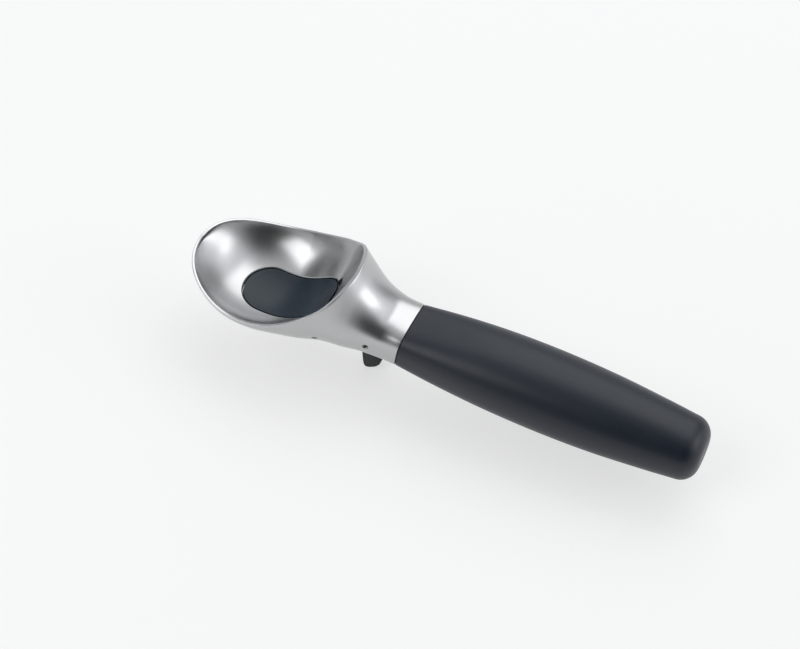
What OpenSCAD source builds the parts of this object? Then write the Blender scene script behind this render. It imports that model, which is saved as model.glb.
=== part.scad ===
/* [Head] */
// Length of the metal head from the bowl's tip to the handle joint
head_length = 91; // [88:0.5:94]
// Width of the bowl across its rim
bowl_width = 53; // [51:0.5:56]
// Depth of the bowl's floor below the rim's tip
bowl_depth = 18.6; // [17.8:0.1:18.8]
// Depth of the head's underside below the rim's tip
body_depth = 21.6; // [21.2:0.1:23]
// Height of the crest at the back of the bowl above the rim's tip
crest_height = 13.2; // [12:0.2:15]
// How far the rim dips at the sides below the rim's tip
rim_dip = 7; // [6:0.2:7.6]
// Width of the rim's edge
lip = 1.1; // [0.9:0.1:1.4]
// Thickness of the wall behind the bowl
back_wall = 2.2; // [1.8:0.1:2.6]

/* [Handle joint] */
// Width of the head where it meets the handle
joint_width = 25.2; // [24:0.2:27]
// Height of the head where it meets the handle
joint_height = 17.8; // [17:0.2:19]
// Depth of the joint's middle below the rim's tip
joint_drop = 11.6; // [11:0.1:12.2]
// Forward lean of the joint's face, in degrees
joint_lean = 8; // [6:0.5:10]
// Thickness of the seal between head and handle
seal_thickness = 0.6; // [0.4:0.1:1]
// How far the seal's edge lies inside the joint's outline
seal_inset = 0.35; // [0.2:0.05:0.6]

/* [Handle] */
// Length of the handle from the joint to its end face
handle_length = 119; // [112:1:126]
// Greatest width of the handle
grip_width = 32.6; // [31:0.2:34]
// Width of the handle just before its rounded end
end_width = 25; // [24:0.5:27]
// How far the handle's middle line falls towards its end
handle_droop = 4; // [2:0.5:5]
// Radius of the rounding round the end face
end_radius = 6.5; // [5:0.5:8]
// Thickness of the soft sleeve over the core
sleeve_wall = 2.4; // [2:0.1:3]
// Thickness of the soft sleeve at its closed end
sleeve_end = 5; // [4:0.5:7]
// Gap between the sleeve and the core
sleeve_gap = 0.05; // [0.03:0.01:0.1]

/* [Tang] */
// Length of the tang inside the handle
tang_length = 54; // [48:1:60]
// Width of the tang
tang_width = 12; // [10:0.5:13]
// Depth of the tang's middle below the joint's middle
tang_drop = 1.6; // [1:0.1:2]
// Height of the tang
tang_height = 8; // [7.5:0.5:9]
// Gap round the tang in its socket
tang_gap = 0.1; // [0.05:0.01:0.2]
// Diameter of the tang screw
screw_d = 4; // [3.5:0.5:5]
// Length of the tang screw under its head
screw_length = 24; // [20:1:28]
// Diameter of the tang screw's head
screw_head_d = 7; // [6.5:0.5:8]
// Height of the tang screw's head
screw_head_h = 2.8; // [2:0.2:3.6]
// Width across the flats of the socket in the screw's head
screw_socket = 2.5; // [2:0.5:3]
// Diameter of the washer under the screw's head
washer_d = 9; // [8.5:0.25:9.5]
// Thickness of that washer
washer_t = 1; // [0.8:0.1:1.4]
// Thickness of the core between the tang and the washer
core_web = 12; // [10:1:14]
// Length of the plug that closes the core
plug_length = 6; // [4:1:9]

/* [Ejector plate] */
// Width of the ejector plate
plate_width = 21.3; // [20:0.1:21.8]
// Distance from the bowl's tip to the plate's front
plate_front = 19.6; // [18.5:0.2:21]
// Distance from the bowl's tip to the plate's rear edge
plate_rear = 57.2; // [56.8:0.1:57.4]
// Radius of the plate's rear corners
plate_corner = 6.5; // [5.5:0.5:7]
// Thickness of the plate
plate_t = 1.5; // [1.3:0.1:1.6]
// Gap round the plate
plate_gap = 0.5; // [0.4:0.05:0.6]
// Gap under the plate
plate_seat_gap = 0.2; // [0.15:0.05:0.3]
// Diameter of the studs that hold the plate on its arm
stud_d = 2.4; // [2:0.1:2.6]

/* [Mechanism] */
// Distance from the bowl's tip to the ejector's pivot
ejector_x = 60.3; // [60.1:0.1:60.8]
// Depth of the ejector's pivot below the rim's tip
ejector_depth = 9.2; // [9:0.1:9.5]
// Distance from the bowl's tip to the trigger's pivot
trigger_x = 79; // [78:0.2:80]
// Depth of the trigger's pivot below the rim's tip
trigger_depth = 10; // [9.6:0.1:10.6]
// Diameter of both pivot pins
pin_d = 2.4; // [2:0.1:2.6]
// Wall of the hollow pivot pins
pin_wall = 0.5; // [0.4:0.05:0.6]
// Width of the slit along a pivot pin
pin_slit = 0.5; // [0.3:0.1:0.7]
// Diameter of the cross pin that links the ejector to the trigger
link_d = 2; // [1.8:0.1:2.2]
// Share of the distance between the pivots that lies on the ejector's side
link_share = 0.43; // [0.41:0.01:0.45]
// Diameter of the ejector's hub
ejector_hub_d = 4.2; // [4:0.1:4.4]
// Diameter of the trigger's hub
trigger_hub_d = 7.6; // [7:0.2:8]
// Width of the trigger
trigger_width = 8; // [7.4:0.2:8.2]
// Thickness of each of the trigger's two cheeks
cheek_t = 1.7; // [1.5:0.1:1.8]
// Width of the ejector's tail between the cheeks
tail_width = 3.2; // [2.6:0.2:3.4]
// Height of the trigger's foot below its pivot
trigger_drop = 27; // [25:0.5:29]
// How far the trigger reaches ahead of its pivot
trigger_front = 6.9; // [6.4:0.1:7.2]
// How far the trigger's finger face lies behind its pivot
trigger_back = 3; // [2.6:0.1:3.4]
// Length of the slots for the link pin
link_travel = 1.6; // [1.4:0.1:1.8]
// Width of the slot in the head for the mechanism
slot_width = 9.2; // [9:0.1:9.8]
// Radial clearance of a pin that is fixed in its bore
fixed_clearance = 0.02; // [0.01:0.01:0.04]
// Radial clearance of a lever on its pin
running_clearance = 0.06; // [0.03:0.01:0.09]
// Radial clearance of the link pin in the trigger's slots
link_clearance = 0.3; // [0.25:0.05:0.4]
// Diameter of the return spring's wire
wire_d = 0.6; // [0.5:0.05:0.65]
// Mean radius of the return spring's coil
coil_radius = 2.1; // [2:0.05:2.3]
// Distance between neighbouring turns of the return spring
coil_pitch = 1.1; // [1.06:0.01:1.12]

/* [Hidden] */
$fn = 48;

// Points round a section, and sections along the head, the bowl and the handle
ring_points = 48;
head_sections = 44;
bowl_sections = 34;
bowl_points = 28;
handle_sections = 30;

// Widest place of the bowl, and the power of its rounded front in plan
widest_x = 37;
front_power = 2.2;
half_bowl = bowl_width / 2;
half_joint = joint_width / 2;
lean = tan(joint_lean);
lean_start = 60;
joint_top = -joint_drop + joint_height / 2;
joint_bottom = -joint_drop - joint_height / 2;
overall_length = head_length + handle_length;
crest_x = 69.1;

// Smooth curve through a table of [position, value] pairs
function slope_at(table, i) =
    let (a = max(i - 1, 0), b = min(i + 1, len(table) - 1))
    (table[b][1] - table[a][1]) / (table[b][0] - table[a][0]);
function span_of(table, x, i = 0) =
    i >= len(table) - 2 || x < table[i + 1][0] ? i : span_of(table, x, i + 1);
function curve(table, x) =
    let (
        i = span_of(table, x),
        step = table[i + 1][0] - table[i][0],
        s = min(max((x - table[i][0]) / step, 0), 1),
        rise = step * slope_at(table, i),
        run = step * slope_at(table, i + 1)
    )
    table[i][1] * (2 * s ^ 3 - 3 * s ^ 2 + 1) + rise * (s ^ 3 - 2 * s ^ 2 + s)
    + table[i + 1][1] * (3 * s ^ 2 - 2 * s ^ 3) + run * (s ^ 3 - s ^ 2);

// Height of the rim along the head
rim_heights = [
    [0, 0], [6, -0.34 * rim_dip], [12, -0.66 * rim_dip], [18, -0.89 * rim_dip], [24, -rim_dip],
    [30, -0.97 * rim_dip], [37, -0.79 * rim_dip], [44, -0.47 * rim_dip], [52, 0.05 * crest_height],
    [60, 0.43 * crest_height], [crest_x, crest_height], [75, 1.45 * crest_height]
];
// Half width of the outside behind the widest place
side_widths = [
    [widest_x, half_bowl], [44, 0.973 * half_bowl], [52, 0.9 * half_bowl], [60, 0.785 * half_bowl],
    [68, 0.7 * half_bowl], [76, 1.17 * half_joint], [84, 1.03 * half_joint], [head_length, half_joint]
];
// Height of the widest line, of the top and of the underside along the outside
middle_heights = [
    [0, 0], [12, -0.66 * rim_dip], [24, -rim_dip], [37, -0.79 * rim_dip], [46, -2.8], [56, -2],
    [64, -3], [72, -6.3], [80, -9], [head_length, -joint_drop]
];
top_heights = [
    [0, 10], [30, 12], [50, 24], [60, 28], [crest_x, crest_height], [72, 8.7], [76, 4.2], [80, 0.9],
    [84, -1.4], [head_length, joint_top]
];
bottom_heights = [
    [0, -0.8], [2, -0.2 * body_depth], [6, -0.445 * body_depth], [12, -0.69 * body_depth],
    [20, -0.885 * body_depth], [28, -0.97 * body_depth], [36, -body_depth], [44, -1.01 * body_depth],
    [60, -1.02 * body_depth], [76, -1.01 * body_depth], [head_length, joint_bottom]
];
upper_powers = [[0, 2.2], [36, 2.2], [52, 2.5], [70, 1.7], [head_length, 3.2]];
lower_powers = [[0, 1.65], [36, 1.75], [52, 1.9], [70, 1.9], [head_length, 3.2]];
// Depth of the bowl's floor line along the head, and the bowl's back
floor_heights = [
    [0, -1], [3, -0.215 * bowl_depth], [8, -0.52 * bowl_depth], [14, -0.76 * bowl_depth],
    [20, -0.895 * bowl_depth], [27, -0.97 * bowl_depth], [34, -bowl_depth], [39, -0.975 * bowl_depth],
    [44, -0.875 * bowl_depth], [49, -0.725 * bowl_depth], [54, -0.565 * bowl_depth], [58, -6.8],
    [64, 3.6], [crest_x, crest_height]
];
// Round of the bowl across, and the share of it that the bowl uses below its rim
floor_power = 2;
floor_reach = 0.95;
floor_edge = (1 - floor_reach ^ floor_power) ^ (1 / floor_power);

// Half width of the outside at a distance from the bowl's tip
function front_width(x, half) =
    half * (1 - (1 - x / widest_x) ^ front_power) ^ (1 / front_power);
function outer_width(x) = x < widest_x ? max(front_width(max(x, 0), half_bowl), 0.6) : curve(side_widths, x);
function rim_z(x) = curve(rim_heights, x);
function outer_middle(x) = curve(middle_heights, x);

// One point of the outside, for an angle round a section
function signed_power(v, p) = sign(v) * abs(v) ^ p;
function eased(s) = s ^ 2 * (3 - 2 * s);
function lean_at(x) = eased(min(max((x - lean_start) / (head_length - lean_start), 0), 1));
function leaned(x, y, z) = [x + lean * (z + joint_drop) * lean_at(x), y, z];
function outer_point(x, a) =
    let (
        middle = outer_middle(x),
        power = a < 180 ? curve(upper_powers, x) : curve(lower_powers, x),
        reach = a < 180 ? curve(top_heights, x) - middle : middle - curve(bottom_heights, x)
    )
    leaned(x, outer_width(x) * signed_power(cos(a), 2 / power), middle + reach * signed_power(sin(a), 2 / power));

// Half width of the bowl's inside, which ends a lip's width inside the rim
bowl_front = lip;
bowl_back = crest_x - lip;
function rim_half(x) =
    let (
        middle = outer_middle(x),
        reach = curve(top_heights, x) - middle,
        power = curve(upper_powers, x),
        height = min(max(rim_z(x) - middle, 0) / reach, 1)
    )
    outer_width(x) * (1 - height ^ power) ^ (1 / power);
function bowl_half(x) =
    let (
        ahead = rim_half(min(x + lip * 0.9, crest_x)),
        here = rim_half(x) - lip,
        front = front_width(min(max(x - lip, 0) * widest_x / (widest_x - lip), widest_x), half_bowl - lip)
    )
    x < widest_x ? max(front, 0.3) : max(min(here, ahead - 0.25 * lip), 0.3);
// Height of the bowl's floor at a place
function floor_z(x, y) =
    let (
        half = bowl_half(x),
        rim = rim_z(x),
        middle = min(curve(floor_heights, x), rim - 0.3),
        share = floor_reach * min(abs(y) / half, 1),
        round = (1 - share ^ floor_power) ^ (1 / floor_power)
    )
    rim - (rim - middle) * (round - floor_edge) / (1 - floor_edge);
function floor_slope(x) = (curve(floor_heights, x + 0.5) - curve(floor_heights, x - 0.5));
function sunk_floor(x, y, depth) = floor_z(x, y) - depth * sqrt(1 + floor_slope(x) ^ 2);

// Closed solid through a list of rings that all have the same number of points
module loft(rings) {
    count = len(rings[0]);
    last = len(rings) - 1;
    corners = [for (ring = rings) each ring];
    sides = [
        for (i = [0 : last - 1], j = [0 : count - 1])
            let (
                k = (j + 1) % count,
                a = i * count + j,
                b = i * count + k,
                c = a + count,
                d = b + count
            )
            each [[a, c, b], [b, c, d]]
    ];
    near_cap = [[for (j = [0 : count - 1]) j]];
    far_cap = [[for (j = [count - 1 : -1 : 0]) last * count + j]];
    polyhedron(corners, concat(sides, near_cap, far_cap), convexity = 8);
}

// The outline of the head before the bowl is taken out
function head_station(i) =
    let (s = i / (head_sections - 1))
    s < 0.5 ? widest_x * (1 - cos(180 * s)) : widest_x + (head_length - widest_x) * (2 * s - 1);
module head_outside() {
    loft([
        for (i = [0 : head_sections - 1])
            [for (j = [0 : ring_points - 1]) outer_point(head_station(i), j * 360 / ring_points)]
    ]);
}

// Everything above the rim
module above_rim() {
    steps = 60;
    reach = 60;
    rim_end = 75;
    across()
        polygon(concat(
            [for (i = [0 : steps]) let (x = i * rim_end / steps) [x, rim_z(x)]],
            [[rim_end, reach], [-5, reach], [-5, 0]]
        ));
}

// Turns an outline drawn in X and Z into a slab across the whole width
module across(width = 80) {
    rotate([90, 0, 0])
        linear_extrude(width, center = true)
            children();
}

// The hollow of the bowl
function bowl_station(i) =
    let (s = i / (bowl_sections - 1), span = bowl_back - bowl_front)
    bowl_front + span * (1 - cos(180 * s)) / 2;
module bowl_hollow() {
    reach = 40;
    loft([
        for (i = [0 : bowl_sections - 1])
            let (x = bowl_station(i), half = bowl_half(x))
            concat(
                [[x, half, reach]],
                [[x, -half, reach]],
                [
                    for (j = [0 : bowl_points])
                        let (y = -half * cos(180 * j / bowl_points))
                        [x, y, floor_z(x, y)]
                ]
            )
    ]);
}

// Outline of the ejector plate in plan, grown by a gap
module plate_outline(gap) {
    nose = plate_width / 2 + gap;
    corner = plate_corner + gap;
    union() {
        translate([plate_front + plate_width / 2, 0])
            circle(nose, $fn = 72);
        translate([plate_front + plate_width / 2, -nose])
            square([plate_rear - plate_corner - plate_front - plate_width / 2, 2 * nose]);
        translate([plate_rear - plate_corner - 1, -nose + corner])
            square([plate_corner + 1 + gap, 2 * (nose - corner)]);
        for (side = [-1, 1])
            translate([plate_rear - plate_corner, side * (nose - corner)])
                circle(corner);
    }
}

// Layer under the bowl's floor between two depths
module floor_layer(high, low) {
    steps = 22;
    lanes = 8;
    reach = plate_width / 2 + 2;
    from = plate_front - 2;
    to = plate_rear + 2;
    loft([
        for (i = [0 : steps])
            let (x = from + (to - from) * i / steps)
            concat(
                [
                    for (j = [lanes : -1 : 0])
                        let (y = reach * (2 * j / lanes - 1))
                        [x, y, sunk_floor(x, y, high)]
                ],
                [for (j = [0 : lanes]) let (y = reach * (2 * j / lanes - 1)) [x, y, sunk_floor(x, y, low)]]
            )
    ]);
}

// Recess for the plate in the bowl's floor
module plate_recess() {
    intersection() {
        translate([0, 0, -40])
            linear_extrude(60)
                plate_outline(plate_gap);
        floor_layer(-6, plate_t + plate_seat_gap);
    }
}

// Round hole or pin across the head, at a pivot
module cross_round(x, depth, d, width) {
    translate([x, 0, -depth])
        rotate([90, 0, 0])
            cylinder(d = d, h = width, center = true);
}

// Slot for the levers, open at the bottom
slot_front = plate_rear - 13.4;
slot_rear = trigger_x + 7.6;
slot_roof = 6 - ejector_depth;
hub_room = 0.5;
module mechanism_slot() {
    wall_x = plate_rear + plate_gap;
    hub_top = -ejector_depth + ejector_hub_d / 2 + hub_room;
    spring_seat = -trigger_depth + coil_radius + wire_d / 2 + spring_room;
    across(slot_width)
        polygon([
            [slot_front, -2 * body_depth],
            [slot_front, curve(floor_heights, slot_front) - 0.5],
            [wall_x - 2, curve(floor_heights, wall_x - 2) - 0.5],
            [wall_x, curve(floor_heights, wall_x) - back_wall * 0.9],
            [wall_x + 1.2, hub_top],
            [ejector_x + 3, hub_top],
            [ejector_x + 6.1, slot_roof],
            [trigger_x - 5, slot_roof],
            [trigger_x + 2.5, -trigger_depth + trigger_hub_d / 2 + hub_room],
            [trigger_x + 4.2, spring_seat],
            [slot_rear, spring_seat],
            [slot_rear, -2 * body_depth]
        ]);
}

// Room for the plate's rear edge as it swings back
sweep_rise = floor_z(plate_rear, (plate_width - plate_corner) / 2) + ejector_depth;
sweep_radius = norm([plate_rear - ejector_x, sweep_rise]) + plate_gap;
module rear_relief() {
    start = 112;
    finish = 186;
    arc = 8;
    across(plate_width + 2 * plate_gap)
        translate([ejector_x, -ejector_depth])
            polygon(concat(
                [[0, 0]],
                [
                    for (i = [0 : arc])
                        let (a = start + (finish - start) * i / arc)
                        sweep_radius * [cos(a), sin(a)]
                ]
            ));
}

// The head's outside with the bowl and the plate's recess taken out, kept at its own size
module head_shell() {
    resize([0, 0, 0])
        difference() {
            head_outside();
            above_rim();
            bowl_hollow();
            plate_recess();
        }
}

module head_casting() {
    bore_d = pin_d + 2 * fixed_clearance;
    color("gainsboro")
        place()
            union() {
                difference() {
                    head_shell();
                    mechanism_slot();
                    rear_relief();
                    cross_round(ejector_x, ejector_depth, bore_d, 2 * bowl_width);
                    cross_round(trigger_x, trigger_depth, bore_d, 2 * bowl_width);
                }
                tang();
            }
}

// Tang that carries the handle, with the hole for its screw
tang_root = 3;
tang_end = head_length + tang_length;
tang_z = -joint_drop - tang_drop;
module tang() {
    difference() {
        translate([head_length - tang_root, -tang_width / 2, tang_z - tang_height / 2])
            cube([tang_length + tang_root, tang_width, tang_height]);
        translate([tang_end - screw_length, 0, tang_z])
            rotate([0, 90, 0])
                cylinder(d = screw_d + 2 * fixed_clearance, h = screw_length + 1);
    }
}

// Half width of the outside at a place, which the pivot pins end in
function side_reach(x, z) =
    let (
        middle = outer_middle(x),
        power = z > middle ? curve(upper_powers, x) : curve(lower_powers, x),
        reach = z > middle ? curve(top_heights, x) - middle : middle - curve(bottom_heights, x)
    )
    outer_width(x) * (1 - (abs(z - middle) / reach) ^ power) ^ (1 / power);

// Pad, hub and tail of the lever under the plate
arm_front = slot_front + 1.5;
arm_depth = 2.4;
arm_gap = 0.1;
stud_places = [plate_rear - 9.4, plate_rear - 4.9];
link_x = ejector_x + link_share * (trigger_x - ejector_x);
link_depth = ejector_depth + link_share * (trigger_depth - ejector_depth);
tail_reach = 2.2;
module ejector_arm() {
    steps = 12;
    arm_rear = plate_rear - 0.8;
    pad_top = [
        for (i = [0 : steps])
            let (x = arm_front + (arm_rear - arm_front) * i / steps)
            [x, sunk_floor(x, 0, plate_t + arm_gap)]
    ];
    pad_under = [
        for (i = [0 : steps - 4])
            let (x = arm_front + (arm_rear - arm_front) * i / steps)
            [x, sunk_floor(x, 0, plate_t + arm_gap + arm_depth)]
    ];
    hub_under = [[ejector_x - 0.8, -ejector_depth - ejector_hub_d * 0.46]];
    under = concat(hub_under, [for (i = [len(pad_under) - 1 : -1 : 0]) pad_under[i]]);
    color("dimgray")
        place()
            difference() {
                union() {
                    across(trigger_width)
                        polygon(concat(pad_top, [[ejector_x - 0.6, -ejector_depth + 1.4]], under));
                    cross_round(ejector_x, ejector_depth, ejector_hub_d, trigger_width);
                    across(tail_width)
                        polygon([
                            [ejector_x, -ejector_depth + ejector_hub_d / 2 - 0.2],
                            [link_x, -link_depth + tail_reach],
                            [link_x, -link_depth - tail_reach],
                            [ejector_x, -ejector_depth - ejector_hub_d / 2 + 0.2]
                        ]);
                    cross_round(link_x, link_depth, 2 * tail_reach, tail_width);
                }
                cross_round(ejector_x, ejector_depth, pin_d + 2 * running_clearance, 30);
                cross_round(link_x, link_depth, link_d + 2 * fixed_clearance, 30);
                for (x = stud_places)
                    plate_stud(x, stud_d + 2 * fixed_clearance, 12);
            }
}

// Stud under the plate, square to the plate where it stands
module plate_stud(x, d, length) {
    translate([x, 0, sunk_floor(x, 0, plate_t / 2)])
        rotate([0, -atan(floor_slope(x)), 0])
            translate([0, 0, -length])
                cylinder(d = d, h = length);
}

module ejector_plate() {
    stud_length = plate_t / 2 + arm_depth + 0.3;
    color("darkslategray")
        place() {
            union() {
                intersection() {
                    translate([0, 0, -40])
                        linear_extrude(60)
                            plate_outline(0);
                    floor_layer(0.05, plate_t);
                }
                for (x = stud_places)
                    plate_stud(x, stud_d, stud_length);
            }
        }
}

// Hollow slit pin across the head
module hollow_pin(x, depth, width) {
    translate([x, 0, -depth])
        rotate([90, 0, 0])
            difference() {
                cylinder(d = pin_d, h = width, center = true);
                cylinder(d = pin_d - 2 * pin_wall, h = width + 2, center = true);
                translate([0, -pin_slit / 2, -width / 2 - 1])
                    cube([pin_d, pin_slit, width + 2]);
            }
}
pin_recess = 0.5;
module ejector_pivot_pin() {
    width = 2 * (side_reach(ejector_x, -ejector_depth) - pin_recess);
    color("silver")
        place()
            hollow_pin(ejector_x, ejector_depth, width);
}
module trigger_pivot_pin() {
    width = 2 * (side_reach(trigger_x, -trigger_depth) - pin_recess);
    color("silver")
        place()
            hollow_pin(trigger_x, trigger_depth, width);
}
module link_pin() {
    color("silver")
        place()
            cross_round(link_x, link_depth, link_d, trigger_width - 0.2);
}

// Finger lever with its two cheeks
web_top = -trigger_depth - trigger_hub_d / 2 - 1;
link_set_back = 0.6;
cheek_nose = 2.6;
module trigger() {
    color("black")
        place()
            difference() {
                union() {
                    across(trigger_width)
                        polygon(trigger_outline());
                    cross_round(trigger_x, trigger_depth, trigger_hub_d, trigger_width);
                    cross_round(link_x - link_set_back, link_depth, 2 * cheek_nose, trigger_width);
                }
                across(trigger_width - 2 * cheek_t)
                    polygon([
                        [link_x - 6, 0], [trigger_x + 6, 0], [trigger_x + 6, web_top], [link_x - 6, web_top]
                    ]);
                cross_round(trigger_x, trigger_depth, pin_d + 2 * running_clearance, 30);
                link_slot();
                spring_groove();
            }
}
function trigger_spot(forward, down) =
    [
        trigger_x - (forward > 0 ? forward * trigger_front : forward * trigger_back),
        -trigger_depth - down * trigger_drop
    ];
function trigger_outline() = [
    [link_x - link_set_back, -link_depth + cheek_nose],
    [trigger_x, -trigger_depth + trigger_hub_d / 2],
    [trigger_x + trigger_hub_d / 2, -trigger_depth],
    trigger_spot(-1, 0.26),
    trigger_spot(-0.9, 0.445),
    trigger_spot(-0.73, 0.63),
    trigger_spot(-0.33, 0.815),
    trigger_spot(0.015, 0.88),
    trigger_spot(0.09, 0.91),
    trigger_spot(0.2, 0.933),
    trigger_spot(0.67, 1),
    trigger_spot(0.81, 0.993),
    trigger_spot(0.9, 0.955),
    trigger_spot(0.97, 0.7),
    trigger_spot(1, 0.52),
    trigger_spot(0.915, 0.26),
    trigger_spot(0.785, 0.15),
    [link_x - link_set_back, -link_depth - cheek_nose]
];

// Slot for the link pin in both cheeks, along the line to the trigger's pivot
module link_slot() {
    across_d = link_d + 2 * link_clearance;
    reach = norm([trigger_x - link_x, trigger_depth - link_depth]);
    tilt = atan((trigger_depth - link_depth) / (trigger_x - link_x));
    translate([trigger_x, 0, -trigger_depth])
        rotate([0, tilt, 0]) {
            translate([-reach, 0, 0])
                rotate([90, 0, 0])
                    cylinder(d = across_d, h = 30, center = true);
            translate([-reach - link_travel, 0, 0])
                rotate([90, 0, 0])
                    cylinder(d = across_d, h = 30, center = true);
            translate([-reach - link_travel, -15, -across_d / 2])
                cube([link_travel, 30, across_d]);
        }
}

// Return spring round the trigger's pin
coil_turns = 3.25;
spring_room = 0.3;
rings_per_turn = 8;
wire_sides = 6;
coil_half = coil_turns * coil_pitch / 2;
leg_down = 6;
leg_back = 6.4;
function coil_point(i) =
    let (turn = i / rings_per_turn, a = 90 + 360 * turn)
    [trigger_x + coil_radius * cos(a), -coil_half + coil_pitch * turn, -trigger_depth + coil_radius * sin(a)];
coil_path = [for (i = [0 : coil_turns * rings_per_turn]) coil_point(i)];
spring_path = concat(
    [[trigger_x + leg_back, -coil_half, -trigger_depth + coil_radius]],
    [[trigger_x + 0.9, -coil_half, -trigger_depth + coil_radius]],
    coil_path,
    [[trigger_x - coil_radius, coil_half, -trigger_depth - 0.9]],
    [[trigger_x - coil_radius, coil_half, -trigger_depth - leg_down]]
);
spring_gap = min([
    for (i = [0 : len(coil_path) - 1], j = [i + rings_per_turn - 2 : 1 : len(coil_path) - 1])
        norm(coil_path[i] - coil_path[j]) - wire_d
]);
echo(spring_self_gap = spring_gap);
module tube(path, d, sides) {
    last = len(path) - 1;
    loft([
        for (i = [0 : last])
            let (
                ahead = path[min(i + 1, last)] - path[max(i - 1, 0)],
                forward = ahead / norm(ahead),
                flat = cross([0, 1, 0], forward),
                right = flat / norm(flat),
                up = cross(forward, right)
            )
            [
                for (j = [0 : sides - 1])
                    let (a = 360 * j / sides)
                    path[i] + d / 2 * (cos(a) * right + sin(a) * up)
            ]
    ]);
}
module trigger_spring() {
    color("lightsteelblue")
        place()
            tube(spring_path, wire_d, wire_sides);
}
module spring_groove() {
    room = wire_d + spring_room;
    translate([trigger_x - coil_radius - room / 2, coil_half - room / 2, -trigger_depth - leg_down - 0.4])
        cube([room, room, leg_down]);
}

// Outline of the handle at a distance from the joint, drawn in by an inset
handle_span = handle_length - seal_thickness;
lean_run = handle_length / 4;
half_grip = grip_width / 2;
half_end = end_width / 2;
handle_widths = [
    [0, half_joint], [0.134, 0.874 * half_grip], [0.303, 0.972 * half_grip], [0.487, half_grip],
    [0.672, 0.956 * half_grip], [0.84, 0.85 * half_grip], [0.945, half_end], [1, 0.96 * half_end]
];
handle_ratios = [[0, joint_height / joint_width], [0.134, 0.77], [0.3, 0.83], [0.67, 0.86], [1, 0.88]];
handle_powers = [[0, 3.2], [0.134, 2.8], [0.3, 2.35], [0.67, 2.2], [1, 2.3]];
handle_falls = [[0, 0], [0.336, 0.29], [0.672, 0.67], [1, 1]];
function handle_middle(u) = -joint_drop - handle_droop * curve(handle_falls, u / handle_span);
function handle_ring(u, inset) =
    let (
        s = u / handle_span,
        half = curve(handle_widths, s),
        power = curve(handle_powers, s),
        middle = handle_middle(u),
        lean_share = eased(min(max(1 - u / lean_run, 0), 1)),
        tall = half * curve(handle_ratios, s) - inset,
        wide = half - inset
    )
    [
        for (j = [0 : ring_points - 1])
            let (
                a = j * 360 / ring_points,
                z = middle + tall * signed_power(sin(a), 2 / power),
                x = head_length + seal_thickness + u + lean * (z + joint_drop) * lean_share
            )
            [x, wide * signed_power(cos(a), 2 / power), z]
    ];
// Solid from the joint to a rounded end
module handle_solid(inset, span, radius, lead = 0) {
    turn = 6;
    straight = span - radius;
    loft(concat(
        lead > 0 ? [[for (p = handle_ring(0, inset)) p - [lead, 0, 0]]] : [],
        [for (i = [0 : handle_sections - 1]) handle_ring(straight * i / handle_sections, inset)],
        [
            for (k = [0 : turn])
                let (a = 90 * k / turn)
                handle_ring(straight + radius * sin(a), inset + radius * (1 - cos(a)))
        ]
    ));
}
module handle_grip() {
    color("darkslateblue")
        place()
            difference() {
                handle_solid(0, handle_span, end_radius);
                handle_solid(sleeve_wall, handle_span - sleeve_end, end_radius - sleeve_wall, 1);
            }
}

module handle_core() {
    tight = sleeve_wall + sleeve_gap;
    bottom_x = tang_end + core_web;
    color("slategray")
        place()
            difference() {
                handle_solid(tight, handle_span - sleeve_end - sleeve_gap, end_radius - sleeve_wall);
                translate([head_length - 10, -tang_width / 2 - tang_gap, tang_z - tang_height / 2 - tang_gap])
                    cube([tang_length + 10 + tang_gap, tang_width + 2 * tang_gap, tang_height + 2 * tang_gap]);
                translate([tang_end - 1, 0, tang_z])
                    rotate([0, 90, 0])
                        cylinder(d = screw_d + 0.6, h = core_web + 2);
                translate([bottom_x, 0, tang_z])
                    rotate([0, 90, 0])
                        cylinder(d = washer_d + 0.4, h = handle_length);
            }
}

// Screw, washer and plug behind the tang
module on_tang_axis(x) {
    place()
        translate([x, 0, tang_z])
            rotate([0, 90, 0])
                children();
}
module tang_washer() {
    color("silver")
        on_tang_axis(tang_end + core_web)
            difference() {
                cylinder(d = washer_d, h = washer_t);
                translate([0, 0, -1])
                    cylinder(d = screw_d + 0.3, h = washer_t + 2);
            }
}
module tang_screw() {
    seat = tang_end + core_web + washer_t;
    color("gray")
        on_tang_axis(seat)
            difference() {
                union() {
                    translate([0, 0, -screw_length])
                        cylinder(d = screw_d, h = screw_length + 1);
                    cylinder(d = screw_head_d, h = screw_head_h);
                }
                translate([0, 0, screw_head_h / 2])
                    cylinder(d = screw_socket / cos(30), h = screw_head_h, $fn = 6);
            }
}
module core_plug() {
    core_end = head_length + seal_thickness + handle_span - sleeve_end - end_radius;
    color("gray")
        on_tang_axis(core_end - plug_length)
            cylinder(d = washer_d + 0.4 - 2 * fixed_clearance, h = plug_length);
}

// Flat ring between the head and the handle
module joint_seal() {
    wide = half_joint - seal_inset;
    tall = joint_height / 2 - seal_inset;
    skin = 0.02;
    color("black")
        place()
            difference() {
                loft([
                    for (x = [skin, seal_thickness - skin])
                        [
                            for (j = [0 : ring_points - 1])
                                let (a = j * 360 / ring_points, z = tall * signed_power(sin(a), 2 / 3.2))
                                [head_length + x + lean * z, wide * signed_power(cos(a), 2 / 3.2), z - joint_drop]
                        ]
                ]);
                translate([head_length - 10, -tang_width / 2 - tang_gap, tang_z - tang_height / 2 - tang_gap])
                    cube([40, tang_width + 2 * tang_gap, tang_height + 2 * tang_gap]);
            }
}

// Moves a piece from the bowl's own frame to the model's frame
stand_height = trigger_depth + trigger_drop;
module place() {
    translate([-overall_length / 2, 0, stand_height])
        children();
}

head_casting();
ejector_plate();
ejector_arm();
ejector_pivot_pin();
link_pin();
trigger();
trigger_pivot_pin();
trigger_spring();
joint_seal();
handle_core();
tang_screw();
tang_washer();
core_plug();
handle_grip();
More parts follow.
